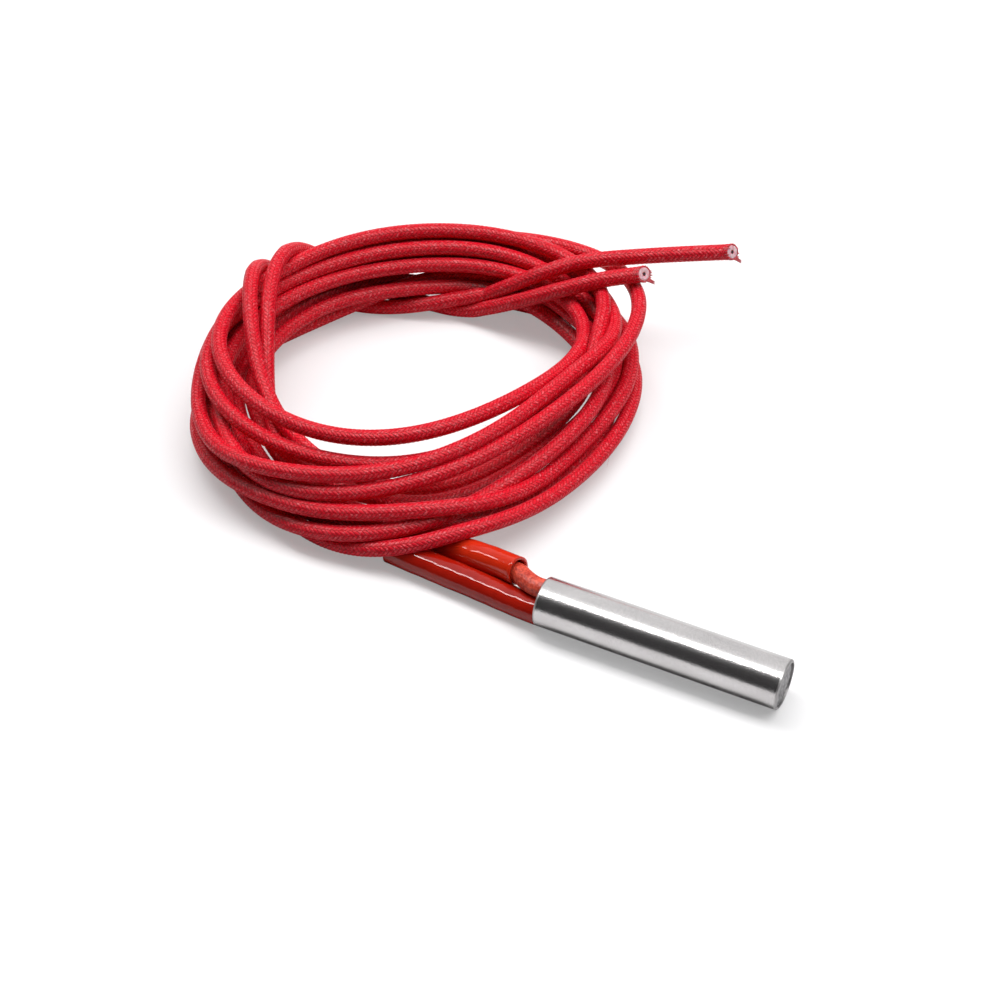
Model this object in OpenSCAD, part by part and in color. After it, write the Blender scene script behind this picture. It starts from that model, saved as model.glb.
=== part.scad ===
// Cartridge heater: a steel cartridge packed with magnesia round a wire-wound core,
// with two braided leads that lie wound in a loose coil beside it.
// The sheath lies along X on the floor, with its closed end towards +X.
// The origin is on the floor, under the middle of the sheath.

/* [Sheath] */
// Outside diameter of the sheath
sheath_d = 6; // [5.8:0.1:8]
// Length of the sheath
sheath_l = 30; // [26:1:60]
// Wall thickness of the sheath
sheath_wall = 0.35; // [0.25:0.05:0.4]
// Rounding of the sheath's outer edges
edge_r = 0.25; // [0.1:0.05:0.3]

/* [Closed end] */
// Thickness of the welded end disc
disc_t = 1.2; // [0.8:0.1:2]
// Depth of the disc's face below the sheath's rim
disc_recess = 0.2; // [0.1:0.05:0.5]
// Bevel round the disc's outer face
disc_bevel = 0.2; // [0.1:0.05:0.4]
// Thickness of the ceramic spacer behind the disc
spacer_t = 1.8; // [1:0.1:3]

/* [Core and winding] */
// Diameter of the wound ceramic core
core_d = 4; // [3.8:0.05:4.2]
// Unheated length at the lead end
cold_l = 10; // [9:0.5:12]
// Diameter of the resistance wire
wire_d = 0.3; // [0.2:0.05:0.35]
// Whole turns of resistance wire
wire_turns = 14; // [8:1:20]
// Bare length of the core at each end of the winding
wire_margin = 1; // [0.8:0.1:1.5]
// Depth of the lead end's pin in the core
pin_depth = 5; // [3:0.5:6]

/* [Terminals] */
// Distance between the two leads and between their pins
lead_pitch = 2.8; // [2.75:0.05:2.9]
// Turn of the pair of leads about the sheath, from level
lead_angle = 65; // [55:1:75]
// Diameter of the terminal pins
pin_d = 0.8; // [0.6:0.05:0.85]
// Thickness of the two-hole ceramic bead
bead_t = 2; // [1.5:0.1:2.5]
// Outside diameter of the crimp barrels
crimp_d = 1.6; // [1.4:0.05:1.8]
// Length of the crimp barrels
crimp_l = 3.6; // [3:0.1:4]
// Thickness of the cement seal at the lead end
seal_t = 2.4; // [1.5:0.1:2.6]
// Depth of the seal below the sheath's rim
seal_recess = 0.4; // [0.2:0.05:0.6]
// Depth of the dish in the seal's outer face
seal_dish = 0.2; // [0.1:0.05:0.3]
// Thickness of seal past the end of a lead's braid
seal_cover = 0.3; // [0.2:0.05:0.6]

/* [Leads] */
// Diameter of a lead over its braid
lead_d = 1.9; // [1.6:0.05:2]
// Straight length of a lead where it leaves the sheath
lead_straight = 1; // [0.5:0.1:1.5]
// Diameter of a lead's stranded conductor
conductor_d = 0.7; // [0.5:0.05:0.8]
// Outside diameter of the sleeves on the leads
sleeve_d = 3.4; // [3.2:0.05:3.45]
// Wall thickness of the sleeves
sleeve_wall = 0.45; // [0.35:0.05:0.5]

/* [Coil] */
// Outside diameter of the coil of leads
coil_d = 57; // [56:0.5:58]
// Width of the coil's bundle, across its turns
coil_w = 9.5; // [8:0.5:11]
// Height of the coil's bundle
coil_h = 9; // [8:0.5:11]
// Rounding of the bundle's section
coil_r = 3; // [2:0.5:3.5]
// Tilt of the coil, whose front lies on the sleeves
coil_tilt = 4.5; // [4.5:0.1:6]

/* [Hidden] */
$fn = 64;

// Stations along the sheath, from its lead end to its closed end
bore_r = sheath_d/2 - sheath_wall;
axis_z = sheath_d/2;
lead_end_x = -sheath_l/2;
closed_end_x = sheath_l/2;
seal_outer_x = lead_end_x + seal_recess;
seal_inner_x = seal_outer_x + seal_t;
core_x = lead_end_x + cold_l;
bead_x = core_x - bead_t;
disc_x = closed_end_x - disc_recess - disc_t;
spacer_x = disc_x - spacer_t;
core_l = spacer_x - core_x;
crimp_x = bead_x - crimp_l;
crimp_mid_x = crimp_x + crimp_l/2;
lead_start_x = seal_inner_x - seal_cover;
rim_r = min(edge_r, sheath_wall*0.8);

// The winding starts at pin a, at the lead end, and ends half a turn round, at pin b
wire_gap = 0.01;
wire_sides = 6;
wire_steps = 16;
wire_helix_r = (core_d/2 + wire_d/2 + wire_gap)/cos(180/wire_steps);
wire_outer_r = wire_helix_r + wire_d/2 + wire_gap;
wire_total_turns = wire_turns + 0.5;
wire_pitch = (core_l - 2*wire_margin)/wire_total_turns;
wire_bend_r = wire_d;
wire_bend_steps = 4;
notch_w = wire_d*3;
notch_l = wire_margin + wire_d;

// Routes of the leads, from the floor under the sheath's lead end
lead_sides = 8;
floor_at_lead_end = [lead_end_x, 0, 0];
lead_a_route = [
    [-4, -0.4, 1.74], [-9, 0.05, 1.72], [-14, 0.4, 1.72], [-20.6, 0.9, 1.72],
    [-23.5, 1.7, 1.4], [-27, 2.8, 1.1], [-31, 3.6, 1], [-35, 4.4, 1], [-39, 5.8, 1.2], [-43, 7.6, 2],
    [-46.5, 10.2, 3.9]
];
lead_b_route = [
    [-2.2, 0.95, 4.2], [-3.2, 1.5, 4.05], [-4.2, 2.1, 3.85], [-7, 2.85, 3.2], [-10, 3.4, 2.65],
    [-14, 4.1, 1.75], [-19, 4.75, 1.45], [-24, 5.2, 1.45],
    [-27.5, 5.6, 1.2], [-31, 6.1, 1], [-35, 6.9, 1], [-39, 8.4, 1.3], [-42.5, 10.4, 2.4], [-46.2, 13, 4.2]
];
lead_a_tail_route = [
    [-32, 48.2, 3.5], [-27.7, 48.6, 6.5], [-23.7, 49.9, 9], [-20.2, 51.9, 10.3], [-16.6, 53.8, 11],
    [-11.7, 56.2, 11.5], [-6.8, 58.4, 12], [-1.3, 61.6, 12]
];
lead_b_tail_route = [
    [-31.6, 47.2, 2.2], [-25.6, 47.4, 5.5], [-20, 48.4, 8.5], [-15.1, 50.4, 10.4], [-10.4, 53.2, 11]
];
// The sleeves cover these points of the routes
sleeve_a_last = 3;
sleeve_b_first = 2;
sleeve_b_last = 7;
// Sleeve b leans on sleeve a and comes down to the floor; its lead lies in the bottom of it
sleeve_bore_d = sleeve_d - 2*sleeve_wall;
sleeve_b_lift = (sleeve_bore_d - lead_d)/2 - 0.02;
coil_centre = [-30, 25.5, 0];
coil_base_z = (coil_d/2 - coil_r)*sin(coil_tilt) + coil_r*(1 - cos(coil_tilt));

// Where a lead leaves the sheath: side -1 is lead a, side 1 is lead b
function lead_offset(side) =
    [0, side*lead_pitch/2*cos(lead_angle), side*lead_pitch/2*sin(lead_angle)];
function lead_exit(side) = [lead_end_x, 0, axis_z] + lead_offset(side);
function from_lead_end(route) = [for (p = route) p + floor_at_lead_end];
// A lead goes straight out of the sheath, and then along its route
function lead_outside(side, route) =
    concat([lead_exit(side), lead_exit(side) - [lead_straight, 0, 0]], from_lead_end(route));
function lead_path(side, route) =
    concat([[lead_start_x, 0, axis_z] + lead_offset(side)], lead_outside(side, route));
function stretch(points, first, last) = [for (i = [first:last]) points[i]];

// A rod swept along a path: each ring of points stands square to the path
function unit(v) = v/norm(v);
function heading(path, i) = unit(path[min(i + 1, len(path) - 1)] - path[max(i - 1, 0)]);
function path_ring(path, i, r, sides, up) =
    let (ahead = heading(path, i), across = unit(cross(up, ahead)), over = cross(ahead, across))
    [for (k = [0:sides - 1]) path[i] + r*(cos(360*k/sides)*across + sin(360*k/sides)*over)];

module swept_rod(path, d, sides, up) {
    rings = len(path);
    start_cap = [for (k = [0:sides - 1]) k];
    end_cap = [for (k = [sides - 1:-1:0]) (rings - 1)*sides + k];
    walls = [
        for (i = [0:rings - 2], k = [0:sides - 1]) let (next = (k + 1) % sides)
            [i*sides + k, (i + 1)*sides + k, (i + 1)*sides + next, i*sides + next]
    ];
    polyhedron(
        points = [for (i = [0:rings - 1]) each path_ring(path, i, d/2, sides, up)],
        faces = concat([start_cap], walls, [end_cap]),
        convexity = 10
    );
}

module swept_lead(path, d) {
    swept_rod(path, d, lead_sides, [0, 0, 1]);
}

// A sleeve is open at both ends, so its bore runs on past them
module swept_sleeve(path) {
    last = len(path) - 1;
    bore_path = concat([path[0] - heading(path, 0)], path, [path[last] + heading(path, last)]);
    difference() {
        swept_lead(path, sleeve_d);
        swept_lead(bore_path, sleeve_bore_d);
    }
}

// Turns a shape that stands on Z to lie along X on the sheath's axis, from station x
module on_axis(x) {
    translate([x, 0, axis_z]) rotate([0, 90, 0]) children();
}

module on_lead(side, x) {
    translate(lead_offset(side)) on_axis(x) children();
}

module rod_on_lead(side, x, end_x, d) {
    on_lead(side, x) cylinder(d = d, h = end_x - x);
}

// Runs a cutter past both faces of what it cuts
module hole_on_lead(side, x, end_x, d) {
    rod_on_lead(side, x - 1, end_x + 1, d);
}

// Wall of the sheath in half section, its two outer corners rounded
module sheath_section() {
    intersection() {
        translate([bore_r, 0]) square([sheath_wall, sheath_l]);
        union() {
            translate([0, rim_r]) square([sheath_d/2, sheath_l - 2*rim_r]);
            square([sheath_d/2 - rim_r, sheath_l]);
            for (y = [rim_r, sheath_l - rim_r]) translate([sheath_d/2 - rim_r, y]) circle(r = rim_r);
        }
    }
}

module sheath_tube() {
    color("silver") on_axis(lead_end_x) rotate_extrude() sheath_section();
}

// Pressed disc, welded round its bevelled outer edge
module end_disc() {
    color("gray") on_axis(disc_x) {
        cylinder(r = bore_r, h = disc_t - disc_bevel);
        translate([0, 0, disc_t - disc_bevel])
            cylinder(r1 = bore_r, r2 = bore_r - disc_bevel, h = disc_bevel);
    }
}

module base_spacer() {
    color("ivory") on_axis(spacer_x) cylinder(r = bore_r, h = spacer_t);
}

// A notch in the core's end lets the wire in to its pin
module wire_notch(side, x) {
    angle = side > 0 ? lead_angle : lead_angle + 180;
    translate([x, 0, axis_z]) rotate([angle, 0, 0])
        translate([0, lead_pitch/2, -notch_w/2]) cube([notch_l, core_d, notch_w]);
}

module magnesia_core() {
    color("linen") difference() {
        on_axis(core_x) cylinder(d = core_d, h = core_l);
        rod_on_lead(-1, core_x - 1, core_x + pin_depth, pin_d);
        hole_on_lead(1, core_x, spacer_x, pin_d);
        wire_notch(-1, core_x);
        wire_notch(1, spacer_x - notch_l);
    }
}

// Path of the wire: in the frame of the helix, u is along the sheath, and angle turns from pin a
function wire_point(u, r, angle) =
    [core_x + u, r*cos(lead_angle + 180 + angle), axis_z + r*sin(lead_angle + 180 + angle)];
wire_bend_top = sqrt(wire_helix_r*wire_helix_r - wire_bend_r*wire_bend_r);
// From the helix, at s = 0, the wire turns to point at its pin, at s = 1
function wire_bend(s) = [wire_bend_top - wire_bend_r*(1 - cos(90*s)), wire_bend_r*(1 - sin(90*s))];
function wire_bend_point(u, s, side) =
    let (place = wire_bend(s), base = side > 0 ? wire_total_turns*360 : 0)
    wire_point(u, norm(place), base - side*atan2(place[1], place[0]));
wire_pin_r = lead_pitch/2 + pin_d/2 + wire_gap;
wire_helix_steps = floor(wire_total_turns*wire_steps);
wire_path = concat(
    [wire_point(wire_margin, wire_pin_r, 0)],
    [for (i = [wire_bend_steps:-1:0]) wire_bend_point(wire_margin, i/wire_bend_steps, -1)],
    [for (i = [1:wire_helix_steps - 1])
        wire_point(wire_margin + wire_pitch*i/wire_steps, wire_helix_r, 360*i/wire_steps)],
    [for (i = [0:wire_bend_steps]) wire_bend_point(core_l - wire_margin, i/wire_bend_steps, 1)],
    [wire_point(core_l - wire_margin, wire_pin_r, wire_total_turns*360)]
);

module resistance_winding() {
    color("dimgray") swept_rod(wire_path, wire_d, wire_sides, [1, 0, 0]);
}

// Magnesia packed between the winding and the sheath
module magnesia_fill() {
    color("whitesmoke") on_axis(core_x) difference() {
        cylinder(r = bore_r, h = core_l);
        translate([0, 0, -1]) cylinder(r = wire_outer_r, h = core_l + 2);
    }
}

module insulator_bead() {
    color("linen") difference() {
        on_axis(bead_x) cylinder(r = bore_r, h = bead_t);
        for (side = [-1, 1]) hole_on_lead(side, bead_x, core_x, pin_d);
    }
}

// Pin a stops inside the core, and pin b runs on to the core's far end
module terminal_pin(side, end_x) {
    color("lightgray") rod_on_lead(side, crimp_mid_x, end_x, pin_d);
}

module terminal_pin_a() {
    terminal_pin(-1, core_x + pin_depth);
}

module terminal_pin_b() {
    terminal_pin(1, spacer_x);
}

// Barrel that joins a pin to its lead's conductor, end to end at its middle
module crimp(side) {
    color("goldenrod") difference() {
        rod_on_lead(side, crimp_x, bead_x, crimp_d);
        rod_on_lead(side, crimp_mid_x, bead_x + 1, pin_d);
        rod_on_lead(side, crimp_x - 1, crimp_mid_x, conductor_d);
    }
}

module crimp_a() {
    crimp(-1);
}

module crimp_b() {
    crimp(1);
}

module conductor(side) {
    color("peru") rod_on_lead(side, lead_start_x, crimp_mid_x, conductor_d);
}

module conductor_a() {
    conductor(-1);
}

module conductor_b() {
    conductor(1);
}

// Magnesia packed round the crimps, from the seal to the bead
module lead_end_fill() {
    color("whitesmoke") difference() {
        on_axis(seal_inner_x) cylinder(r = bore_r, h = bead_x - seal_inner_x);
        for (side = [-1, 1]) {
            hole_on_lead(side, seal_inner_x, bead_x, conductor_d);
            rod_on_lead(side, crimp_x, bead_x + 1, crimp_d);
        }
    }
}

// Cement round the two leads, its face dished as it dried
module potting_seal() {
    dish_r = (bore_r*bore_r + seal_dish*seal_dish)/(2*seal_dish);
    color("white") difference() {
        on_axis(seal_outer_x) cylinder(r = bore_r, h = seal_t);
        translate([seal_outer_x + seal_dish - dish_r, 0, axis_z]) sphere(r = dish_r);
        for (side = [-1, 1]) {
            rod_on_lead(side, seal_outer_x - 1, lead_start_x, lead_d);
            hole_on_lead(side, lead_start_x, seal_inner_x, conductor_d);
        }
    }
}

// Sleeve a stands against the sheath's end
module sleeve_a() {
    color("orangered") swept_sleeve(lead_outside(-1, stretch(lead_a_route, 0, sleeve_a_last)));
}

// Sleeve b stops short of the sheath and shows the lead inside it
module sleeve_b() {
    path = from_lead_end(stretch(lead_b_route, sleeve_b_first, sleeve_b_last));
    color("orangered") translate([0, 0, sleeve_b_lift]) swept_sleeve(path);
}

// Outer shape of the wound leads: round in section, tilted where it lies on the sleeves
module coil_section() {
    translate([coil_d/2 - coil_w, 0]) {
        translate([coil_r, 0]) square([coil_w - 2*coil_r, coil_h]);
        translate([0, coil_r]) square([coil_w, coil_h - 2*coil_r]);
        for (x = [coil_r, coil_w - coil_r], y = [coil_r, coil_h - coil_r])
            translate([x, y]) circle(r = coil_r);
    }
}

module coil_ring() {
    translate(floor_at_lead_end + coil_centre + [0, 0, coil_base_z])
        rotate([-coil_tilt, 0, 0]) rotate_extrude() coil_section();
}

module lead_coil() {
    color("crimson") coil_ring();
}

// A free stretch of lead meets the coil at the coil's surface
module lead_outside_coil(path) {
    color("crimson") difference() {
        swept_lead(path, lead_d);
        coil_ring();
    }
}

module lead_a_run() {
    lead_outside_coil(lead_path(-1, lead_a_route));
}

module lead_b_run() {
    lead_outside_coil(lead_path(1, lead_b_route));
}

module lead_a_tail() {
    lead_outside_coil(from_lead_end(lead_a_tail_route));
}

module lead_b_tail() {
    lead_outside_coil(from_lead_end(lead_b_tail_route));
}

sheath_tube();
end_disc();
base_spacer();
magnesia_core();
resistance_winding();
magnesia_fill();
insulator_bead();
terminal_pin_a();
terminal_pin_b();
crimp_a();
crimp_b();
conductor_a();
conductor_b();
lead_end_fill();
potting_seal();
sleeve_a();
sleeve_b();
lead_a_run();
lead_b_run();
lead_coil();
lead_a_tail();
lead_b_tail();
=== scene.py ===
import math

import bmesh
import bpy
import numpy as np
from mathutils import Matrix, Vector


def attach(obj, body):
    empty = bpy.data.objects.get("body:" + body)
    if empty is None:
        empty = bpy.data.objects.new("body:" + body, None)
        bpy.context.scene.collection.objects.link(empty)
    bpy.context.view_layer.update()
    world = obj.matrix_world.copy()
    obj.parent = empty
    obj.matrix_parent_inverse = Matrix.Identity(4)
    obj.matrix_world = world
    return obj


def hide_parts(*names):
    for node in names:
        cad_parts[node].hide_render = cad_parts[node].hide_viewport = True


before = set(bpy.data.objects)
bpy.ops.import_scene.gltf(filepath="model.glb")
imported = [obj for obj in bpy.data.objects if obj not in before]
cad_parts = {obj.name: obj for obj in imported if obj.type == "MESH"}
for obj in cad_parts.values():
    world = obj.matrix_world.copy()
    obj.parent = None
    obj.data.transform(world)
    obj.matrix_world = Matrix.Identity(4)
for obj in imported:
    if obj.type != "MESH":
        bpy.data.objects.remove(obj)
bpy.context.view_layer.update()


# Core, bead and base spacer: pressed and fired magnesia, cream and chalky, with a fine grain.
# The core has two bores for the pins; the bead and the spacer keep it off the crimps and the end disc.
MM = 0.001


class Tone:
    """A socket in a node tree. Arithmetic on it adds Math nodes, and make() adds any other node."""

    def __init__(self, tree, socket=None):
        self.tree = tree
        self.socket = socket

    def make(self, kind, settings=None, sockets=None, out=0):
        """Adds a node: its settings first, then the values or links of its sockets, by name or index."""
        node = self.tree.nodes.new(kind)
        for name, value in (settings or {}).items():
            if name == "stops":
                ramp = node.color_ramp
                while len(ramp.elements) < len(value):
                    ramp.elements.new(1.0)
                for element, (place, colour) in zip(ramp.elements, value):
                    element.position = place
                    element.color = colour
            else:
                setattr(node, name, value)
        for name, value in (sockets or {}).items():
            if isinstance(value, Tone):
                self.tree.links.new(value.socket, node.inputs[name])
            else:
                node.inputs[name].default_value = value
        return Tone(self.tree, node.outputs[out] if node.outputs else None)

    def maths(self, operation, *values):
        return self.make("ShaderNodeMath", {"operation": operation}, dict(enumerate((self,) + values)))

    def __add__(self, other):
        return self.maths("ADD", other)

    def __sub__(self, other):
        return self.maths("SUBTRACT", other)

    def __rsub__(self, other):
        return self.maths("MULTIPLY_ADD", -1.0, other)

    def __mul__(self, other):
        return self.maths("MULTIPLY", other)

    def __truediv__(self, other):
        return self.maths("DIVIDE", other)

    def spread(self, low, high):
        """This value, from low to high, stretched to 0 to 1 and kept there."""
        return self.make(
            "ShaderNodeMapRange", {"clamp": True}, {"Value": self, "From Min": low, "From Max": high}
        )

    def noise(self, scale, detail=2.0):
        """Noise at this place, with features of about 1/scale of a metre."""
        return self.make("ShaderNodeTexNoise", None, {"Vector": self, "Scale": scale, "Detail": detail})

    def stretch(self, scale, centre=(0, 0, 0)):
        """This place, measured from a centre in metres and scaled along each axis."""
        shift = [-c * s for c, s in zip(centre, scale)]
        return self.make("ShaderNodeMapping", None, {"Vector": self, "Location": shift, "Scale": scale})

    def part(self, axis):
        """One of the three numbers of a place."""
        return self.make("ShaderNodeSeparateXYZ", None, {0: self}, out=axis)

    def between(self, first, second):
        """A colour from first to second, by this value."""
        return self.make(
            "ShaderNodeMix", {"data_type": "RGBA"}, {0: self, 6: first, 7: second}, out=2
        )


def finish(name):
    """A new material with a Principled shader, its object coordinates and that shader."""
    material = bpy.data.materials.new(name)
    material.use_nodes = True
    shader = material.node_tree.nodes["Principled BSDF"]
    place = Tone(material.node_tree).make("ShaderNodeTexCoord", out="Object")
    return material, place, shader


def feed(shader, sockets):
    """Sets or links the sockets of a material's shader."""
    for name, value in sockets.items():
        if isinstance(value, Tone):
            value.tree.links.new(value.socket, shader.inputs[name])
        else:
            shader.inputs[name].default_value = value


def raised(height, depth):
    """A normal from a height of 0 to 1, for a relief of this depth in metres."""
    return height.make("ShaderNodeBump", None, {"Strength": 1.0, "Distance": depth, "Height": height})


def dress(material, *nodes):
    """Gives nodes of the frame their material."""
    for node in nodes:
        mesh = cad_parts[node].data
        mesh.materials.clear()
        mesh.materials.append(material)


core_ceramic, place, shader = finish("core_ceramic")
grit = place.noise(4500, 4.0)
cloud = place.noise(500)
feed(shader, {
    "Base Color": cloud.spread(0.3, 0.7).between((0.8, 0.76, 0.67, 1), (0.88, 0.85, 0.78, 1)),
    "Roughness": grit * 0.2 + 0.7,
    "Normal": raised(grit, 0.00003),
})
dress(core_ceramic, "magnesia_core", "insulator_bead", "base_spacer")


# Winding: resistance wire wound round the core, its ends let in to the pins.
# It is bright from the drawing die and has a thin grey-brown oxide from its first firing.
resistance_wire, place, shader = finish("resistance_wire")
oxide = place.noise(2500, 3.0)
feed(shader, {
    "Base Color": oxide.spread(0.35, 0.65).between((0.36, 0.35, 0.34, 1), (0.25, 0.2, 0.16, 1)),
    "Metallic": 1.0,
    "Roughness": oxide * 0.3 + 0.25,
    "Normal": raised(oxide, 0.000004),
})
dress(resistance_wire, "resistance_winding")


# Pins and conductors: drawn nickel, with the die's faint lines along them.
# The pins sit in the core's bores; the leads' conductors meet them in the crimps.
pin_nickel, place, shader = finish("pin_nickel")
drawn = place.stretch((400, 12000, 12000)).noise(1.0, 2.0)
feed(shader, {
    "Base Color": drawn.spread(0.3, 0.7).between((0.55, 0.53, 0.49, 1), (0.66, 0.64, 0.6, 1)),
    "Metallic": 1.0,
    "Roughness": drawn * 0.2 + 0.2,
    "Normal": raised(drawn, 0.000003),
})
dress(pin_nickel, "terminal_pin_a", "terminal_pin_b", "conductor_a", "conductor_b")


# Crimps: brass barrels pressed over the pins and the conductors.
# The press leaves them dull and a little tarnished.
crimp_brass, place, shader = finish("crimp_brass")
tarnish = place.noise(1800, 3.0)
feed(shader, {
    "Base Color": tarnish.spread(0.35, 0.7).between((0.72, 0.6, 0.37, 1), (0.5, 0.37, 0.2, 1)),
    "Metallic": 1.0,
    "Roughness": tarnish * 0.3 + 0.25,
    "Normal": raised(tarnish, 0.000006),
})
dress(crimp_brass, "crimp_a", "crimp_b")


# Fill: magnesia powder, poured in round the winding and the crimps and packed hard by swaging the tube.
magnesia, place, shader = finish("magnesia")
powder = place.noise(7000, 5.0)
packed = place.noise(700)
feed(shader, {
    "Base Color": packed.spread(0.3, 0.7).between((0.85, 0.83, 0.78, 1), (0.92, 0.9, 0.86, 1)),
    "Roughness": powder * 0.15 + 0.8,
    "Normal": raised(powder, 0.00004),
})
dress(magnesia, "magnesia_fill", "lead_end_fill")


# Sheath: a drawn tube of stainless steel, ground all round to slide into a reamed bore.
# The grinding leaves fine marks round it and a satin grain; both rims are rounded over and duller.
SHEATH_HALF = 15.0
RIM_WIDTH = 0.35
RIM_EDGE = 0.1
sheath_steel, place, shader = finish("sheath_steel")
marks = place.stretch((9000, 1500, 1500)).noise(1.0, 3.0)
grain = place.noise(6000, 3.0)
handled = place.stretch((120, 400, 400)).noise(1.0, 2.0)
speckle = grain.spread(0.3, 0.7) * 0.6 + handled.spread(0.35, 0.7) * 0.4
from_middle = place.part(0).maths("ABSOLUTE")
rolled = from_middle.spread((SHEATH_HALF - RIM_WIDTH) * MM, (SHEATH_HALF - RIM_EDGE) * MM)
satin = speckle.between((0.9, 0.88, 0.875, 1), (0.62, 0.6, 0.6, 1))
feed(shader, {
    "Base Color": (rolled * 0.7).between(satin, (0.42, 0.41, 0.41, 1)),
    "Metallic": 1.0,
    "Roughness": marks * 0.1 + handled * 0.1 + 0.1 + rolled * 0.3,
    "Normal": raised(marks * 0.5 + grain * 0.5, 0.000026),
})
dress(sheath_steel, "sheath_tube")


# End disc: a turned steel disc pressed into the closed end and welded round its edge.
# The weld and the blast that cleaned it leave a matt, pitted face. It is darker round the rim: a painted
# shade, where the disc sits a little back in the tube.
DISC_R = 2.65
AXIS_Z = 3.0
SHADE_RING_WIDTH = 0.5
SHADE_RING_EDGE = 0.1
disc_steel, place, shader = finish("disc_steel")
flat = place.stretch((0, 1000, 1000), (0, 0, AXIS_Z * MM))
from_axis = flat.make("ShaderNodeVectorMath", {"operation": "LENGTH"}, {0: flat}, out="Value")
# Painted shade: a darker ring round the rim of the disc, where it sits back in the tube's end.
edge = from_axis.spread(DISC_R - SHADE_RING_WIDTH, DISC_R - SHADE_RING_EDGE)
pits = place.noise(2800, 4.0)
blast = place.noise(1500, 2.0)
mottle = pits.spread(0.35, 0.65) * 0.7 + blast.spread(0.3, 0.7) * 0.3
cleaned = mottle.between((0.1, 0.098, 0.1, 1), (0.64, 0.63, 0.64, 1))
feed(shader, {
    "Base Color": edge.between(cleaned, (0.24, 0.235, 0.24, 1)),
    "Metallic": 1.0,
    "Roughness": pits * 0.3 + 0.4,
    "Normal": raised(pits, 0.00006),
})
dress(disc_steel, "end_disc")


# Seal: a pale cement poured into the lead end and dished a little as it set.
seal_cement, place, shader = finish("seal_cement")
sand = place.noise(5000, 4.0)
stain = place.noise(900)
feed(shader, {
    "Base Color": stain.spread(0.3, 0.7).between((0.8, 0.77, 0.72, 1), (0.88, 0.86, 0.82, 1)),
    "Roughness": sand * 0.2 + 0.7,
    "Normal": raised(sand, 0.00005),
})
dress(seal_cement, "potting_seal")


# Leads: stranded conductors in white insulation, under a braid of red glass yarn, about 0.91 m each.
# Both leave the seal side by side; they are wound together into a loose coil, and the last turn goes once
# round the bundle as a tie before the cut ends stand off the coil.
LEAD_D = 1.9
LEAD_END_X = -SHEATH_HALF
COIL_X = -45.0
COIL_Y = 25.5
FIRST_STATION = -154
STATION_STEP = 15
LEAD_A_RUN = [
    (2.5, -0.592, 1.731), (1, -0.592, 1.731), (0, -0.592, 1.731), (-1, -0.592, 1.731), (-4, -0.4, 1.74),
    (-9, 0.05, 1.72), (-14, 0.4, 1.72), (-20.6, 0.9, 1.72), (-23.5, 1.7, 1.4), (-27, 2.8, 1.1),
    (-31, 3.6, 1), (-35, 4.4, 1), (-39, 5.8, 1.2), (-43, 7.6, 2), (-46.5, 10.2, 3.9),
]
LEAD_B_RUN = [
    (2.5, 0.592, 4.269), (1, 0.592, 4.269), (0, 0.592, 4.269), (-1, 0.592, 4.269), (-2.2, 0.95, 4.2),
    (-3.2, 1.5, 4.05), (-4.2, 2.1, 3.85), (-7, 2.85, 3.2), (-10, 3.4, 2.65), (-14, 4.1, 1.75),
    (-19, 4.75, 1.45), (-24, 5.2, 1.45), (-27.5, 5.6, 1.2), (-31, 6.1, 1), (-35, 6.9, 1),
    (-39, 8.4, 1.3), (-42.5, 10.4, 2.4), (-46.2, 13, 4.2),
]
LEAD_A_TURNS = [
    [
        (23.3, 3), (24, 3), (24.5, 3.3), (25, 3.5), (25.4, 3.6), (25.7, 3.5), (25.7, 2.5), (25.5, 1.5),
        (26.2, 1), (28.1, 1.2), (29.7, 1.9), (29.3, 2.3), (27.7, 2.4), (26.1, 2.5), (25.1, 2.7), (25, 3),
        (25.9, 3.8), (27.2, 4.9), (27.9, 3.8), (27.2, 2.1), (25.8, 1.3), (24.6, 1.6), (24, 2.8),
        (24, 4.3),
    ],
    [
        (24.5, 5.7), (25.2, 6.6), (25.8, 7), (26.2, 7), (26.5, 7.1), (26.8, 7), (27.4, 6.8), (28.5, 6.9),
        (29.7, 7), (30.5, 7), (28.8, 7.1), (26.1, 8.3), (21.9, 9.8), (19, 10.1), (17.8, 10.2),
        (17.5, 10.3), (17.9, 10.3), (18.8, 10.1), (20.1, 9.7), (22, 9.3), (24, 9.1), (26.3, 8.5),
        (27.8, 7.3), (27.7, 6.7),
    ],
    [
        (27.4, 7), (27.2, 7.7), (27, 8.5), (26.5, 9), (26.1, 9.1), (26.2, 9), (26.8, 8.8), (28.5, 8.8),
        (30.9, 8.7), (33.3, 8.5), (33.3, 8.7), (29, 9.1), (24.9, 9.4), (21.7, 9.4), (19.8, 9.3),
        (19.1, 9.2), (19.3, 9), (20.2, 8.7), (21.6, 8.3), (23.3, 7.6), (25, 6.9), (26.1, 6.5),
        (25.9, 6.7), (25.2, 7.3),
    ],
    [
        (24.5, 7.8), (23.9, 7.9), (23.4, 7.8), (23, 7.7), (22.7, 7.6), (22.6, 7.5), (23, 7.3),
        (24.2, 7.2), (25.4, 6.8), (25.7, 6.4), (24.9, 6.6), (22.2, 7.3), (18.9, 8.6), (16.8, 9.7),
        (15.6, 10.5), (15, 10.9), (14.9, 11.2), (15.4, 11.2), (16.2, 11.2), (17.2, 11), (18.3, 10.8),
        (19.6, 10.7), (21.1, 10.8), (23, 11),
    ],
    [
        (24.8, 11.2), (25.5, 11.3), (25.3, 11.1), (25, 10.9), (25, 11), (25.3, 11.1), (26, 10.9),
        (27.3, 10.5), (29, 9.7), (29.8, 9), (28.6, 9), (23.8, 8.3), (22, 6.9), (19.4, 5), (16.8, 3.6),
        (15.9, 2.3), (15.7, 2.2), (16.1, 2.3), (16.7, 2.8), (17.6, 3.8), (18, 4.8), (18.4, 5.8),
    ],
]
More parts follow.
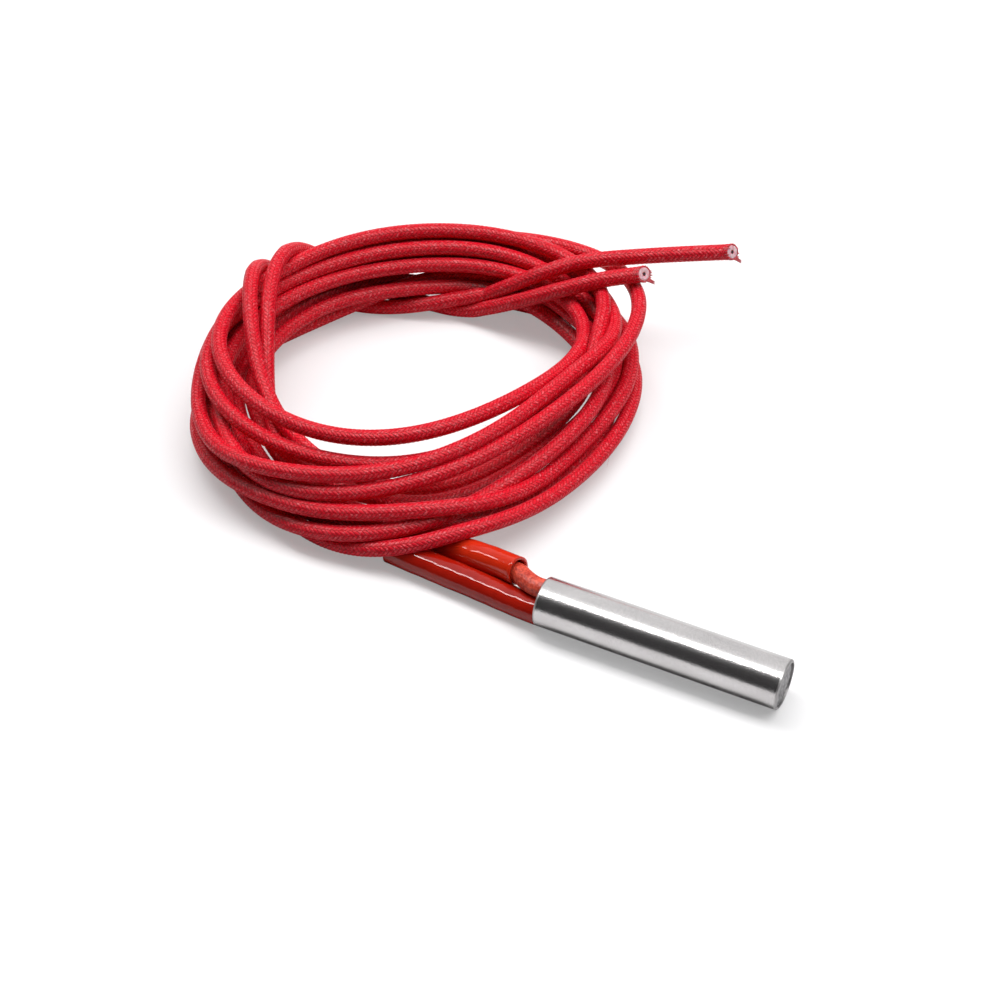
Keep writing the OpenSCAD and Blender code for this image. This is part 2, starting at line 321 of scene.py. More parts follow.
LEAD_B_TURNS = [
    [
        (21.4, 4), (21.7, 3.9), (21.8, 4), (22, 4.3), (21.8, 4.5), (21.6, 4.4), (22.2, 4), (23.5, 3.9),
        (24.4, 3.6), (24.6, 3), (24.6, 2.3), (24.9, 1.9), (25, 2), (24.2, 2), (23.3, 1.8), (23, 1.7),
        (23.1, 2.1), (23.4, 2.9), (24, 3.5), (24.7, 3.5), (25.1, 3.5), (25.1, 4), (25.4, 4.5), (26, 4.8),
    ],
    [
        (26.7, 5), (27.1, 5), (27, 5), (26.7, 5.1), (26.6, 5.1), (26.8, 5.1), (27.1, 4.8), (27.7, 4.4),
        (28.7, 4.2), (29.6, 4.6), (29.8, 5.2), (28.9, 5.1), (26.8, 4.7), (24.2, 4.4), (22.9, 4.2),
        (23, 4.4), (24, 5.2), (24.6, 6.6), (24.8, 6.8), (25.4, 6), (26.1, 5.2), (27, 4.6), (28, 3.8),
        (28.3, 3.1),
    ],
    [
        (27.7, 2.6), (26.6, 2), (25, 1.5), (23.3, 1.6), (22.5, 2.2), (23, 3), (24.3, 3.8), (25.6, 4.4),
        (26.1, 4.4), (25.9, 4.4), (25.4, 4.8), (25.2, 5.9), (24.3, 6.7), (23.1, 6.8), (22.2, 6.6),
        (21.8, 6.1), (22, 5.4), (23.5, 5), (25.6, 4.7), (27, 4), (27.1, 2.8), (26.5, 1.8), (25.9, 1.7),
        (25.5, 2.5),
    ],
    [
        (25.3, 3.7), (25, 4.7), (24.6, 5.4), (24.5, 6.1), (24.5, 6.5), (24.6, 6.7), (25.2, 6.7),
        (26.2, 6.5), (27.3, 6), (27.8, 4.8), (27.1, 3.7), (24.4, 3.9), (20.7, 5.3), (18.2, 6.7),
        (16.8, 7.7), (16.4, 8.2), (16.6, 8.4), (17.2, 8.3), (18, 8.2), (18.7, 8.1), (19.8, 8.1),
        (21.5, 8.2), (23.6, 8.7), (25.5, 9.3),
    ],
    [
        (26.4, 9.6), (26.1, 9.4), (25.1, 9.1), (24.3, 9.1), (23.8, 9.2), (23.8, 9.3), (24.4, 9.2),
        (25.6, 8.9), (26.9, 8.2), (27.7, 7), (27.9, 5.7), (27.1, 4.8), (24.4, 4.4), (21.4, 4.1),
        (19.6, 3.4), (18.3, 2.8), (18.2, 2.6), (19, 2.5), (19.8, 3), (20.4, 4.4), (20.6, 5.4),
        (20.4, 5.4),
    ],
]
LEAD_A_TIE = [
    (-123, 18.7, 6.9), (-136, 19.2, 8.1), (-148, 19.7, 9.7), (-159, 20.6, 11.3), (-169, 21.9, 12.6),
    (-179, 23.7, 13.2), (-188, 25.8, 12.8), (-195, 27.6, 11), (-201, 28.7, 8), (-207, 28.4, 4.7),
    (-213, 26.6, 2.2), (-221, 24.3, 1.1), (-231, 22.5, 1.1), (-241, 21.4, 1.7), (-253, 21.1, 2.8),
]
LEAD_B_TIE = [
    (-123, 19.9, 5.3), (-136, 19.2, 5.9), (-148, 18.8, 7.5), (-160, 19, 9.6), (-172, 20, 11.5),
    (-182, 21.6, 12.8), (-192, 23.7, 13.2), (-201, 25.8, 12.5), (-209, 27.7, 10.5), (-215, 28.6, 7.4),
    (-221, 28.3, 4.2), (-228, 26.7, 2), (-237, 24.6, 1.1), (-246, 22.8, 1), (-257, 21.7, 1.4),
]
LEAD_A_TAIL = [
    (-32, 48.2, 3.5), (-27.7, 48.6, 6.5), (-23.7, 49.9, 9), (-20.2, 51.9, 10.3), (-16.6, 53.8, 11),
    (-11.7, 56.2, 11.5), (-6.8, 58.4, 12), (-1.3, 61.6, 12),
]
LEAD_B_TAIL = [
    (-31.6, 47.2, 2.2), (-25.6, 47.4, 5.5), (-20, 48.4, 8.5), (-15.1, 50.4, 10.4), (-10.4, 53.2, 11),
]


def glide(points, parts):
    """A smooth line through the points, with this many parts to each stretch."""
    p = np.array(points, float)
    p = np.vstack([2 * p[0] - p[1], p, 2 * p[-1] - p[-2]])
    t = (np.arange(parts) / parts)[:, None]
    line = [
        0.5 * (2 * b + (c - a) * t + (2 * a - 5 * b + 4 * c - d) * t**2 + (3 * b - a - 3 * c + d) * t**3)
        for a, b, c, d in zip(p, p[1:], p[2:], p[3:])
    ]
    return np.vstack(line + [p[-2:-1]])


def length(line):
    return np.linalg.norm(np.diff(line, axis=0), axis=1).sum()


def even(line, step):
    """The line again, with its points one step apart."""
    run = np.concatenate([[0], np.cumsum(np.linalg.norm(np.diff(line, axis=0), axis=1))])
    marks = np.linspace(0, run[-1], int(round(run[-1] / step)) + 1)
    return np.stack([np.interp(marks, run, line[:, k]) for k in range(3)], 1)


def wind(run, turns, tie, tail):
    """A lead's line in mm: out of the sheath, round the coil, round the bundle and out to its cut end."""
    stations = [place for turn in turns for place in turn]
    rows = [(FIRST_STATION - STATION_STEP * k, r, z) for k, (r, z) in enumerate(stations)]
    rows += [(a - 360 * len(turns), r, z) for a, r, z in tie]
    angle, r, z = glide(rows, 6).T
    angle = np.radians(angle)
    coil = np.stack([COIL_X + r * np.cos(angle), COIL_Y + r * np.sin(angle), z], 1)
    out = np.array(run) + (LEAD_END_X, 0, 0)
    end = np.array(tail) + (LEAD_END_X, 0, 0)
    return even(glide(np.vstack([out, coil, end]), 8), 1.0)


RUN_EASE = 12
TAIL_EASE = 10


def grip(line, run, tail):
    """How firmly each point stays: the run and the tail are held, the coil is free."""
    firm = np.zeros(len(line))
    first = int(length(np.array(run)))
    last = int(length(np.array(tail)))
    firm[:first - RUN_EASE] = 1
    firm[first - RUN_EASE:first] = np.linspace(1, 0, RUN_EASE)
    firm[-last - TAIL_EASE:-last] = np.linspace(0, 1, TAIL_EASE)
    firm[-last:] = 1
    return firm


ROUNDS = 120
ROUNDS_AT_HOME = 0.8 * ROUNDS
HOME_PULL = 0.02
LEAD_GAP = LEAD_D * 1.02
NEAR_GAP = LEAD_GAP + 1.2
NEAR_EVERY = 5
NEAR_BLOCK = 400
SAME_STRETCH = 6
BENDING = ((1, 0.25), (3, 0.12))
FLOOR_GAP = LEAD_D / 2 * 1.01


def settle(lines, firm, tubes):
    """Lets the laid leads push each other apart to a diameter, stay above the floor and off the tubes,
    and straighten as their stiffness asks."""
    p = np.vstack(lines)
    home = p.copy()
    loose = (1 - np.concatenate(firm))[:, None]
    lead = np.concatenate([np.full(len(line), k) for k, line in enumerate(lines)])
    order = np.concatenate([np.arange(len(line)) for line in lines])
    from_end = np.minimum(order, np.concatenate([np.arange(len(line))[::-1] for line in lines]))
    for turn in range(ROUNDS):
        if turn % NEAR_EVERY == 0:
            near = []
            for low in range(0, len(p), NEAR_BLOCK):
                apart = ((p[low:low + NEAR_BLOCK, None] - p[None]) ** 2).sum(2)
                i, j = np.nonzero(apart < NEAR_GAP ** 2)
                i = i + low
                keep = (i < j) & ((lead[i] != lead[j]) | (np.abs(order[i] - order[j]) > SAME_STRETCH))
                near.append(np.stack([i[keep], j[keep]]))
            i, j = np.hstack(near)
        across = p[i] - p[j]
        reach = np.linalg.norm(across, axis=1)
        short = np.clip(LEAD_GAP - reach, 0, None)
        push = across * (0.5 * short / np.maximum(reach, 1e-6))[:, None]
        move = np.zeros_like(p)
        count = np.zeros(len(p))
        np.add.at(move, i, push)
        np.add.at(move, j, -push)
        np.add.at(count, i, short > 0)
        np.add.at(count, j, short > 0)
        move /= np.sqrt(np.maximum(count, 1))[:, None]
        for span, rate in BENDING:
            sag = np.zeros_like(p)
            sag[span:-span] = 0.5 * (p[:-2 * span] + p[2 * span:]) - p[span:-span]
            sag[from_end < span] = 0
            bend = np.zeros_like(p)
            bend[span:-span] = 0.5 * (sag[:-2 * span] + sag[2 * span:]) - sag[span:-span]
            bend[from_end < span] = 0
            move -= rate * bend
        if turn < ROUNDS_AT_HOME:
            move += HOME_PULL * (home - p)
        p = p + move * loose
        for tube, reach, own in tubes:
            away = p[:, None] - tube[None]
            off = np.linalg.norm(away, axis=2)
            close = off.argmin(1)
            rows = np.arange(len(p))
            off = off[rows, close]
            shove = np.clip(reach - off, 0, None) * (lead != own) / np.maximum(off, 1e-6)
            p = p + away[rows, close] * shove[:, None] * loose
        p[:, 2] = np.maximum(p[:, 2], FLOOR_GAP)
    return [p[lead == k] for k in range(len(lines))]


SLEEVE_D = 3.4
SLEEVE_B_LIFT = 0.28
SLEEVE_CLEARANCE = 0.02
lines = [
    wind(LEAD_A_RUN, LEAD_A_TURNS, LEAD_A_TIE, LEAD_A_TAIL),
    wind(LEAD_B_RUN, LEAD_B_TURNS, LEAD_B_TIE, LEAD_B_TAIL),
]
firm = [grip(lines[0], LEAD_A_RUN, LEAD_A_TAIL), grip(lines[1], LEAD_B_RUN, LEAD_B_TAIL)]
clear = (SLEEVE_D + LEAD_D) / 2 + SLEEVE_CLEARANCE
sleeved = [(lines[0][2:24], clear, 0), (lines[1][7:29] + (0, 0, SLEEVE_B_LIFT), clear, 1)]
lines = settle(lines, firm, sleeved)

# The braid has ten ribs round it. Its yarns lean one way in one rib and the other way in the next, half a
# pick further on.
RIBS = 10
PICK = 0.56
RING_STEP = PICK / 3
RING_SIDES = 2 * RIBS
PICKED_LENGTH = 914
PICKS = int(PICKED_LENGTH / PICK)
RIB_DEPTH = 0.045
RIB_SINK = 0.1
BRAID_FULL = 1.04
LOOSE_END = 0.07
LOOSE_LENGTH = 45
END_FLARE = 0.06
FLARE_LENGTH = 1.2

braid, place, shader = finish("braid")
weave = place.make("ShaderNodeUVMap", {"uv_map": "UVMap"})
along = weave.part(0)
picks = along * PICKS
ribs = weave.part(1) * RIBS
swell = (ribs * math.pi).maths("SINE")
rib = swell.maths("GREATER_THAN", 0.0)
yarn = rib * (picks - ribs).maths("FRACT") + (1 - rib) * (picks + ribs + 0.5).maths("FRACT")
side = yarn * 2 - 1
crown = (1 - side * side) * swell.maths("ABSOLUTE").maths("POWER", 0.5)
# A fine noise: dust that roughens the yarn and raises it a little, and also the spots of the painted
# highlight below.
dust_and_glint_noise = place.noise(5000, 3.0)
plump = place.noise(2400, 2.0).spread(0.3, 0.7)
full = crown.spread(0.02, 0.5)
# Painted highlight: glints on the yarn crowns, mixed toward a pinkish white in the base colour.
painted_glints = full * plump.spread(0.4, 0.8) * dust_and_glint_noise.spread(0.5, 0.62)
# Painted shade: the valleys between the yarns are darker red than the crowns.
red_with_painted_valley_shade = full.between((0.42, 0.001, 0.005, 1), (0.76, 0.003, 0.02, 1))
feed(shader, {
    "Base Color": (painted_glints * 0.5).between(red_with_painted_valley_shade, (0.98, 0.27, 0.31, 1)),
    "Roughness": 0.66 - full * 0.3 + dust_and_glint_noise * 0.06,
    "Specular IOR Level": 0.14,
    "Coat Weight": full * plump * 0.55,
    "Coat Roughness": 0.42,
    "Coat IOR": 1.55,
    "Normal": raised(crown * (plump * 0.5 + 0.5) + dust_and_glint_noise * 0.3, 0.00009),
})


def sweep(name, paths, radius, sides, tip=1.0, caps=False):
    """A tube of this radius along each path, thinning to a share of it at the tip: a curve with a round
    bevel, made a mesh."""
    curve = bpy.data.curves.new(name, "CURVE")
    curve.dimensions = "3D"
    curve.bevel_depth = radius
    curve.bevel_resolution = sides // 2 - 2
    curve.use_fill_caps = caps
    for path in paths:
        spline = curve.splines.new("POLY")
        spline.points.add(len(path) - 1)
        spline.points.foreach_set("co", np.column_stack([path, np.ones(len(path))]).ravel())
        spline.points.foreach_set("radius", np.linspace(1, tip, len(path)))
    shape = bpy.data.objects.new(name, curve)
    bpy.context.collection.objects.link(shape)
    mesh = bpy.data.meshes.new_from_object(shape.evaluated_get(bpy.context.evaluated_depsgraph_get()))
    bpy.data.objects.remove(shape)
    bpy.data.curves.remove(curve)
    mesh.materials.clear()
    return mesh


def reshape(mesh, line, sides, scale):
    """Moves each ring of a swept tube in or out from its line, by a table of scales."""
    rings = np.empty(len(mesh.vertices) * 3)
    mesh.vertices.foreach_get("co", rings)
    rings = rings.reshape(len(line), sides, 3)
    rings = line[:, None] + (rings - line[:, None]) * scale[:, :, None]
    mesh.vertices.foreach_set("co", rings.ravel())


def piece(name, mesh, material):
    """A finished piece of the part, smooth, with its material, riding on the part's one body."""
    mesh.name = name
    mesh.shade_smooth()
    mesh.materials.append(material)
    thing = bpy.data.objects.new(name, mesh)
    bpy.context.collection.objects.link(thing)
    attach(thing, "root")
    return thing


# The shears cut across at a slant, so the face of each cut end turns up and to the front.
CUT_SLANT = 0.9
SLANTED_RINGS = 10
CUT_FACE = Vector((0.4, -0.7, 0.6))


def cut_seat(line):
    """A frame at the end of a line, its Z along it, that slants what lies across it as the cut does."""
    way = Vector(line[-1] - line[-8]).normalized()
    seat = way.to_track_quat("Z", "Y").to_matrix()
    face = seat.inverted() @ CUT_FACE
    face.z = 0
    face.normalize()
    slant = Matrix.Identity(3)
    slant[2][0] = -CUT_SLANT * face.x
    slant[2][1] = -CUT_SLANT * face.y
    return Matrix.Translation(line[-1]) @ (seat @ slant).to_4x4()


leads = []
for name, line in zip("ab", lines):
    line = even(glide(line, 6), RING_STEP) * MM
    mesh = sweep("lead", [line], LEAD_D / 2 * MM, RING_SIDES)
    rib = np.arange(RING_SIDES) / RING_SIDES * RIBS
    pick = np.linspace(0, PICKS, len(line))[:, None]
    yarn = np.where(np.sin(math.pi * rib) > 0, pick - rib, pick + rib + 0.5) % 1
    bulge = np.where(np.arange(RING_SIDES) % 2, 1 - (2 * yarn - 1) ** 2, 0) - RIB_SINK
    to_cut = np.arange(len(line))[::-1, None] * RING_STEP
    loose = LOOSE_END * np.clip(1 - to_cut / LOOSE_LENGTH, 0, 1)
    flare = END_FLARE * np.clip(1 - to_cut / FLARE_LENGTH, 0, 1) ** 2
    reshape(mesh, line, RING_SIDES, BRAID_FULL + bulge * 2 * RIB_DEPTH / LEAD_D + (loose + flare))
    seat = cut_seat(line)
    back = seat.inverted()
    way = seat.to_3x3() @ Vector((0, 0, 1))
    last_upright = len(line) - SLANTED_RINGS
    for vert in list(mesh.vertices)[last_upright * RING_SIDES:]:
        share = (vert.index // RING_SIDES - last_upright) / (SLANTED_RINGS - 1)
        upright = way.dot(vert.co - Vector(line[-1]))
        vert.co += way * (share * (upright - (back @ vert.co).z))
    shell = bmesh.new()
    shell.from_mesh(mesh)
    ends = [edge for edge in shell.edges if edge.is_boundary]
    bmesh.ops.holes_fill(shell, edges=ends, sides=RING_SIDES)
    bmesh.ops.recalc_face_normals(shell, faces=shell.faces)
    shell.to_mesh(mesh)
    shell.free()
    leads.append((piece("braided_lead_" + name, mesh, braid), line, []))
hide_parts("lead_a_run", "lead_coil", "lead_a_tail")
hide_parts("lead_b_run", "lead_b_tail")


# Sleeves: glass sleeving dipped in a glossy orange varnish, cut to about 20 mm and slid over the leads.
# Sleeve a stands against the sheath's rim. Its deeper colour is a painted shade, for the shadow of sleeve
# b, which lies above it. Sleeve b has slipped back and leaves its lead bare at the bend.
SLEEVE_WALL = 0.35
SLEEVE_SIDES = 32
SLEEVE_STEP = 0.25
SLEEVE_SWELL = 1.018
SLEEVE_A = LEAD_A_RUN[2:8]
SLEEVE_B = LEAD_B_RUN[6:12]
SLEEVE_WAVES = ((0, 6.5), (1, 4.7), (2, 3.1), (3, 2.3))
WAVE_DEPTH = 0.004
# Sleeve a's colours are darker than sleeve b's: a painted shade, for the shadow that sleeve b casts on it.
VARNISH_A_PAINTED_SHADE = ((0.34, 0.006, 0.002, 1), (0.44, 0.012, 0.004, 1))
VARNISH_B = ((0.58, 0.018, 0.005, 1), (0.68, 0.03, 0.007, 1))


def varnish(name, thin, thick):
    """A wet-looking varnish that has run a little, from its thin colour to its thick one."""
    material, place, shader = finish(name)
    drips = place.noise(1100, 3.0)
    ripple = place.noise(2600, 2.0)
    feed(shader, {
        "Base Color": place.noise(350).spread(0.3, 0.7).between(thin, thick),
        "Roughness": drips * 0.05 + 0.02,
        "Normal": raised(drips * 0.6 + ripple * 0.4, 0.000025),
        "IOR": 1.5,
    })
    return material


sleeve_varnish = {"a": varnish("sleeve_a", *VARNISH_A_PAINTED_SHADE), "b": varnish("sleeve_b", *VARNISH_B)}
chance = np.random.default_rng(11)


def sleeve_tube(name, route, diameter, wall, material):
    """A sleeve along a route in mm: a tube with a little waviness, and a wall to the inside."""
    route = even(glide(np.array(route) + (LEAD_END_X, 0, 0), 12), SLEEVE_STEP) * MM
    mesh = sweep("sleeve", [route], diameter / 2 * MM, SLEEVE_SIDES)
    run = np.arange(len(route))[:, None] * SLEEVE_STEP
    turn = np.arange(SLEEVE_SIDES) / SLEEVE_SIDES * 2 * math.pi
    wave = np.zeros((len(route), SLEEVE_SIDES))
    for lobes, period in SLEEVE_WAVES:
        wave += np.cos(lobes * turn + 2 * math.pi * run / period + chance.uniform(0, 6)) * WAVE_DEPTH
    reshape(mesh, route, SLEEVE_SIDES, 1 + wave)
    sleeve = piece(name, mesh, material)
    solid = sleeve.modifiers.new("wall", "SOLIDIFY")
    solid.thickness = wall * MM
    solid.offset = -1
    return sleeve


for name, route, lift, (lead, line, on_lead) in zip("ab", (SLEEVE_A, SLEEVE_B), (0, SLEEVE_B_LIFT), leads):
    route = np.array(route) + (0, 0, lift)
    sleeve = sleeve_tube(
        "sleeve_tube_" + name, route, SLEEVE_D * SLEEVE_SWELL, SLEEVE_WALL, sleeve_varnish[name]
    )
    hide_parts("sleeve_" + name)
    on_lead.append(sleeve)


# Inner sleeve: a short piece of thin glass sleeving, close round lead b where it leaves the seal.
# Its varnish soaked in, so it is paler, blotchy and less glossy than the outer sleeve that hides the rest.
INNER_SLEEVE_D = 2.4
INNER_SLEEVE_WALL = 0.18
soaked_varnish, place, shader = finish("soaked_varnish")
blotches = place.noise(900, 3.0)
knit = place.noise(3200, 2.0)
soaked = (blotches * 0.4 + knit * 0.6).spread(0.38, 0.62)
feed(shader, {
    "Base Color": soaked.between((0.42, 0.016, 0.006, 1), (0.82, 0.1, 0.05, 1)),
    "Roughness": knit * 0.2 + 0.3,
    "Normal": raised(blotches * 0.3 + knit * 0.7, 0.00014),
})
lead, line, on_lead = leads[1]
on_lead.append(
    sleeve_tube("inner_sleeve_b", LEAD_B_RUN[2:9], INNER_SLEEVE_D, INNER_SLEEVE_WALL, soaked_varnish)
)


# Cut ends: the leads were cut with shears, so the insulation, stained pink by the braid, and the strands
# show in the middle. The braid's yarns have sprung open there and stand out in tufts.
INSULATION = [
    (0.26, -1.2), (0.26, -0.03), (0.33, 0.06), (0.68, 0.09), (0.86, 0.03), (0.9, -0.1), (0.9, -1.2),
]
ROUGH_CUT = 0.03
STRAND_R = 0.08
STRAND_LENGTH = 1.2
STRAND_RINGS = ((1, 0), (6, 0.165))
STRAND_TIP = 0.3
TIP_BEVEL = 0.03
YARN_END_R = 0.17
FIBRE_TIP = 0.35

insulation, place, shader = finish("insulation")
stained = place.noise(2200, 3.0)
feed(shader, {
    "Base Color": stained.spread(0.35, 0.7).between((0.86, 0.66, 0.7, 1), (0.78, 0.3, 0.36, 1)),
    "Roughness": stained * 0.2 + 0.5,
    "Normal": raised(place.noise(7000, 3.0), 0.00003),
    "Subsurface Weight": 0.2,
    "Subsurface Scale": 0.0003,
})

# Painted shade: the strand ends are coloured near black, for the shade in the hollow of the cut end; the
# wire itself is nickel.
shaded_cut_wire, place, shader = finish("shaded_cut_wire")
sheared = place.noise(9000, 2.0)
feed(shader, {
    "Base Color": sheared.between((0.02, 0.02, 0.022, 1), (0.1, 0.095, 0.1, 1)),
    "Metallic": 1.0,
    "Roughness": sheared * 0.3 + 0.3,
})

loose_yarn, place, shader = finish("loose_yarn")
fuzz = place.noise(8000, 3.0)
feed(shader, {
    "Base Color": fuzz.spread(0.3, 0.7).between((0.4, 0.008, 0.016, 1), (0.72, 0.1, 0.12, 1)),
    "Roughness": fuzz * 0.2 + 0.45,
    "Normal": raised(fuzz, 0.00004),
    "Sheen Weight": 0.3,
})


def fibres(name, paths, radius, sides):
    """Loose fibres along paths, each closed at both ends and thinner at its tip."""
    mesh = sweep(name, paths, radius, sides, FIBRE_TIP, caps=True)
    joined = bmesh.new()
    joined.from_mesh(mesh)
    bmesh.ops.remove_doubles(joined, verts=joined.verts, dist=1e-7)
    bmesh.ops.recalc_face_normals(joined, faces=joined.faces)
    joined.to_mesh(mesh)
    joined.free()
    return mesh


for name, (lead, line, on_lead) in zip("ab", leads):
    seat = cut_seat(line)

    tube = bmesh.new()
    rim = [tube.verts.new((r * MM, 0, z * MM)) for r, z in INSULATION]
    outline = [tube.edges.new((a, b)) for a, b in zip(rim, rim[1:] + rim[:1])]
    bmesh.ops.spin(
        tube, geom=rim + outline, cent=(0, 0, 0), axis=(0, 0, 1), angle=2 * math.pi, steps=28,
        use_merge=True,
    )
    bmesh.ops.remove_doubles(tube, verts=tube.verts, dist=1e-7)
    bmesh.ops.recalc_face_normals(tube, faces=tube.faces)
    for vert in tube.verts:
        vert.co.z += chance.uniform(-ROUGH_CUT, ROUGH_CUT) * MM
    tube.transform(seat)
    mesh = bpy.data.meshes.new("insulation")
    tube.to_mesh(mesh)
    tube.free()
    on_lead.append(piece("lead_insulation_" + name, mesh, insulation))

    bundle = bmesh.new()
    for count, out in STRAND_RINGS:
        for k in range(count):
            turn = 2 * math.pi * k / count
            proud = chance.uniform(0.03, 0.08)
            spot = Vector((out * math.cos(turn), out * math.sin(turn), proud - STRAND_LENGTH / 2))
            bmesh.ops.create_cone(
                bundle, cap_ends=True, segments=10, radius1=STRAND_R * MM, radius2=STRAND_R * MM,
                depth=STRAND_LENGTH * MM, matrix=Matrix.Translation(spot * MM),
            )
    tips = [edge for edge in bundle.edges if min(vert.co.z for vert in edge.verts) > -STRAND_TIP * MM]
    bmesh.ops.bevel(
        bundle, geom=tips, offset=TIP_BEVEL * MM, offset_type="OFFSET", affect="EDGES", segments=2,
        profile=0.5, material=-1,
    )
    bundle.transform(seat)
    mesh = bpy.data.meshes.new("strands")
    bundle.to_mesh(mesh)
    bundle.free()
    on_lead.append(piece("lead_strands_" + name, mesh, shaded_cut_wire))

    down = seat.to_3x3().inverted() @ Vector((0, 0, -1))
    tufts = []
    for k in range(2 * RIBS):
        turn = 2 * math.pi * (k + chance.uniform(-0.3, 0.3)) / (2 * RIBS)
        ray = Vector((math.cos(turn), math.sin(turn), 0))
        reach = chance.uniform(0.02, 0.32)
        spread = chance.uniform(-0.06, 0.12)
        tufts.append([
            ray * 0.9 + Vector((0, 0, -0.5)),
            ray * 1.0 + Vector((0, 0, -0.15)),
            ray * (1.02 + 0.4 * spread) + Vector((0, 0, 0.4 * reach)),
            ray * (0.98 + spread) + Vector((0, 0, reach)) + down * 0.1 * reach,
        ])
    ray = Vector((down.x, down.y, 0)).normalized()
    beside = Vector((-ray.y, ray.x, 0))
    for k in (-1, 0, 1):
        tufts.append([
            ray * 0.9 + beside * 0.2 * k + Vector((0, 0, -0.5)),
            ray * 1.02 + beside * 0.2 * k + Vector((0, 0, -0.1)),
            ray * 1.25 + beside * 0.16 * k + Vector((0, 0, 0.1)),
            ray * (1.5 - 0.08 * k) + beside * 0.12 * k + Vector((0, 0, 0.25)),
            ray * (1.68 - 0.12 * k) + beside * 0.12 * k + Vector((0, 0, 0.45)),
        ])
    mesh = fibres("tufts", [[seat @ (p * MM) for p in path] for path in tufts], YARN_END_R * MM, 8)
    on_lead.append(piece("yarn_ends_" + name, mesh, loose_yarn))


# Stray fibres: broken filaments of the glass yarn, which stand off the braid here and there.
STRAYS = 90
STRAY_R = 0.014
for name, (lead, line, on_lead) in zip("ab", leads):
    strays = []
    for k in range(STRAYS):
        spot = int(chance.uniform(0.06, 0.995) * (len(line) - 30))
        step = (line[spot + 5] - line[spot]) / np.linalg.norm(line[spot + 5] - line[spot])
        off = chance.normal(size=3) + (0, 0, 0.8)
        off -= step * (off @ step)
        off /= np.linalg.norm(off)
        lift = chance.uniform(0.15, 0.7)
        reach = chance.uniform(0.6, 2.0)
        lean = np.cross(step, off) * chance.uniform(-0.5, 0.5)
        path = [
            line[spot] + (off * 0.9) * MM,
            line[spot] + (off * (0.95 + 0.35 * lift) + step * 0.4 * reach + lean * 0.2) * MM,
            line[spot] + (off * (0.95 + 0.75 * lift) + step * 0.8 * reach + lean * 0.6) * MM,
            line[spot] + (off * (0.95 + lift) + step * reach + lean) * MM,
        ]
        if min(p[2] for p in path) > 0.05 * MM:
            strays.append(path)
    mesh = fibres("strays", strays, STRAY_R * MM, 4)
    on_lead.append(piece("stray_fibres_" + name, mesh, loose_yarn))


# Stage: a white table with a pale card behind it and a dark room in front, under two long lights.
# The narrow strip makes the reflections, and the soft light a little behind it makes the shading.
# The table shows white to the camera and keeps the shadows.
FLOOR_HALF = 1.5
FLOOR_GLOW = 0.32
LIGHT_DISTANCE = 0.6
LIGHT_LENGTH = 1.6
STRIP_ANGLE = 82
STRIP_WIDTH = 0.09
STRIP_RADIANCE = 13.0
SOFT_ANGLE = 106
SOFT_WIDTH = 0.25
SOFT_RADIANCE = 5.2
CARD_X = -0.23
CARD_HALF = 0.3
CARD_FADE = 0.2
PAST_CARD = 0.35
CAMERA_LENS = 75.1157
CAMERA_PLACE = (0.0551639, -0.1545020, 0.1771614)
CAMERA_DOWN = 43
CAMERA_TURN = 26.1

floor_bm = bmesh.new()
bmesh.ops.create_grid(floor_bm, x_segments=1, y_segments=1, size=FLOOR_HALF)
floor_mesh = bpy.data.meshes.new("floor")
floor_bm.to_mesh(floor_mesh)
floor_bm.free()
floor = bpy.data.objects.new("floor", floor_mesh)
bpy.context.collection.objects.link(floor)
table_white, place, shader = finish("table_white")
paper = place.noise(60, 2.0)
feed(shader, {
    "Base Color": paper.between((0.63, 0.625, 0.63, 1), (0.65, 0.645, 0.65, 1)),
    "Roughness": 0.9,
    "Specular IOR Level": 0.2,
})
seen = place.make("ShaderNodeLightPath", out="Is Camera Ray")
glow = seen.make("ShaderNodeEmission", None, {"Strength": seen * FLOOR_GLOW})
lit = glow.make("ShaderNodeAddShader", None, {0: Tone(glow.tree, shader.outputs["BSDF"]), 1: glow})
lit.make("ShaderNodeOutputMaterial", {"is_active_output": True}, {"Surface": lit})
floor_mesh.materials.append(table_white)

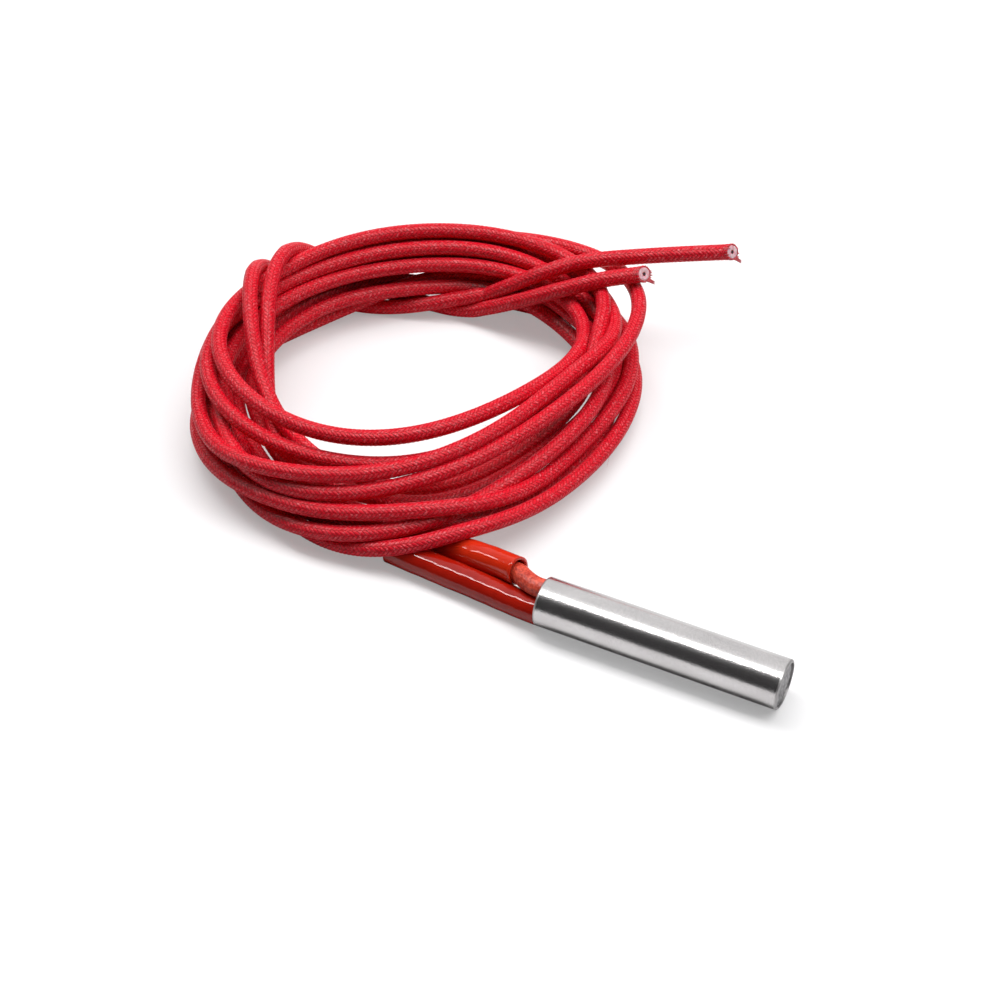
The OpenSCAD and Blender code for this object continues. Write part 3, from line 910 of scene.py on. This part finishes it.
scene = bpy.context.scene
scene.view_settings.view_transform = "Standard"
world = bpy.data.worlds.new("studio")
scene.world = world
world.use_nodes = True
sky = Tone(world.node_tree).make("ShaderNodeTexCoord", out="Generated")
height = sky.part(2).maths("ARCTAN2", sky.part(1) * -1.0) / math.pi
room = height.make("ShaderNodeValToRGB", {"stops": [
    (0.0, (0.035, 0.034, 0.035, 1)),
    (0.415, (0.045, 0.044, 0.045, 1)),
    (0.432, (0.95, 0.95, 0.95, 1)),
    (0.47, (0.95, 0.95, 0.95, 1)),
    (0.6, (0.8, 0.795, 0.8, 1)),
    (1.0, (0.76, 0.755, 0.76, 1)),
]}, {"Fac": height})
off_card = (sky.part(0) - CARD_X).maths("ABSOLUTE").spread(CARD_HALF, CARD_HALF + CARD_FADE)
feed(world.node_tree.nodes["Background"], {"Color": room, "Strength": 1 - off_card * (1 - PAST_CARD)})


def long_light(name, angle, width, radiance):
    """A long lamp along X, at this angle up from the front, turned to the origin."""
    lamp = bpy.data.lights.new(name, "AREA")
    lamp.shape = "RECTANGLE"
    lamp.size = LIGHT_LENGTH
    lamp.size_y = width
    lamp.energy = radiance * math.pi * LIGHT_LENGTH * width
    light = bpy.data.objects.new(name, lamp)
    tilt = math.radians(angle)
    light.location = (0, -math.cos(tilt) * LIGHT_DISTANCE, math.sin(tilt) * LIGHT_DISTANCE)
    light.rotation_euler = (math.pi / 2 - tilt, 0, 0)
    bpy.context.collection.objects.link(light)
    return light


strip = long_light("strip", STRIP_ANGLE, STRIP_WIDTH, STRIP_RADIANCE)
strip.visible_diffuse = False
soft = long_light("soft", SOFT_ANGLE, SOFT_WIDTH, SOFT_RADIANCE)
soft.visible_glossy = False

camera = bpy.data.cameras.new("camera")
camera.lens = CAMERA_LENS
camera.sensor_width = 36
view = bpy.data.objects.new("camera", camera)
view.location = CAMERA_PLACE
view.rotation_euler = (math.radians(90 - CAMERA_DOWN), 0, math.radians(CAMERA_TURN))
bpy.context.collection.objects.link(view)
scene.camera = view
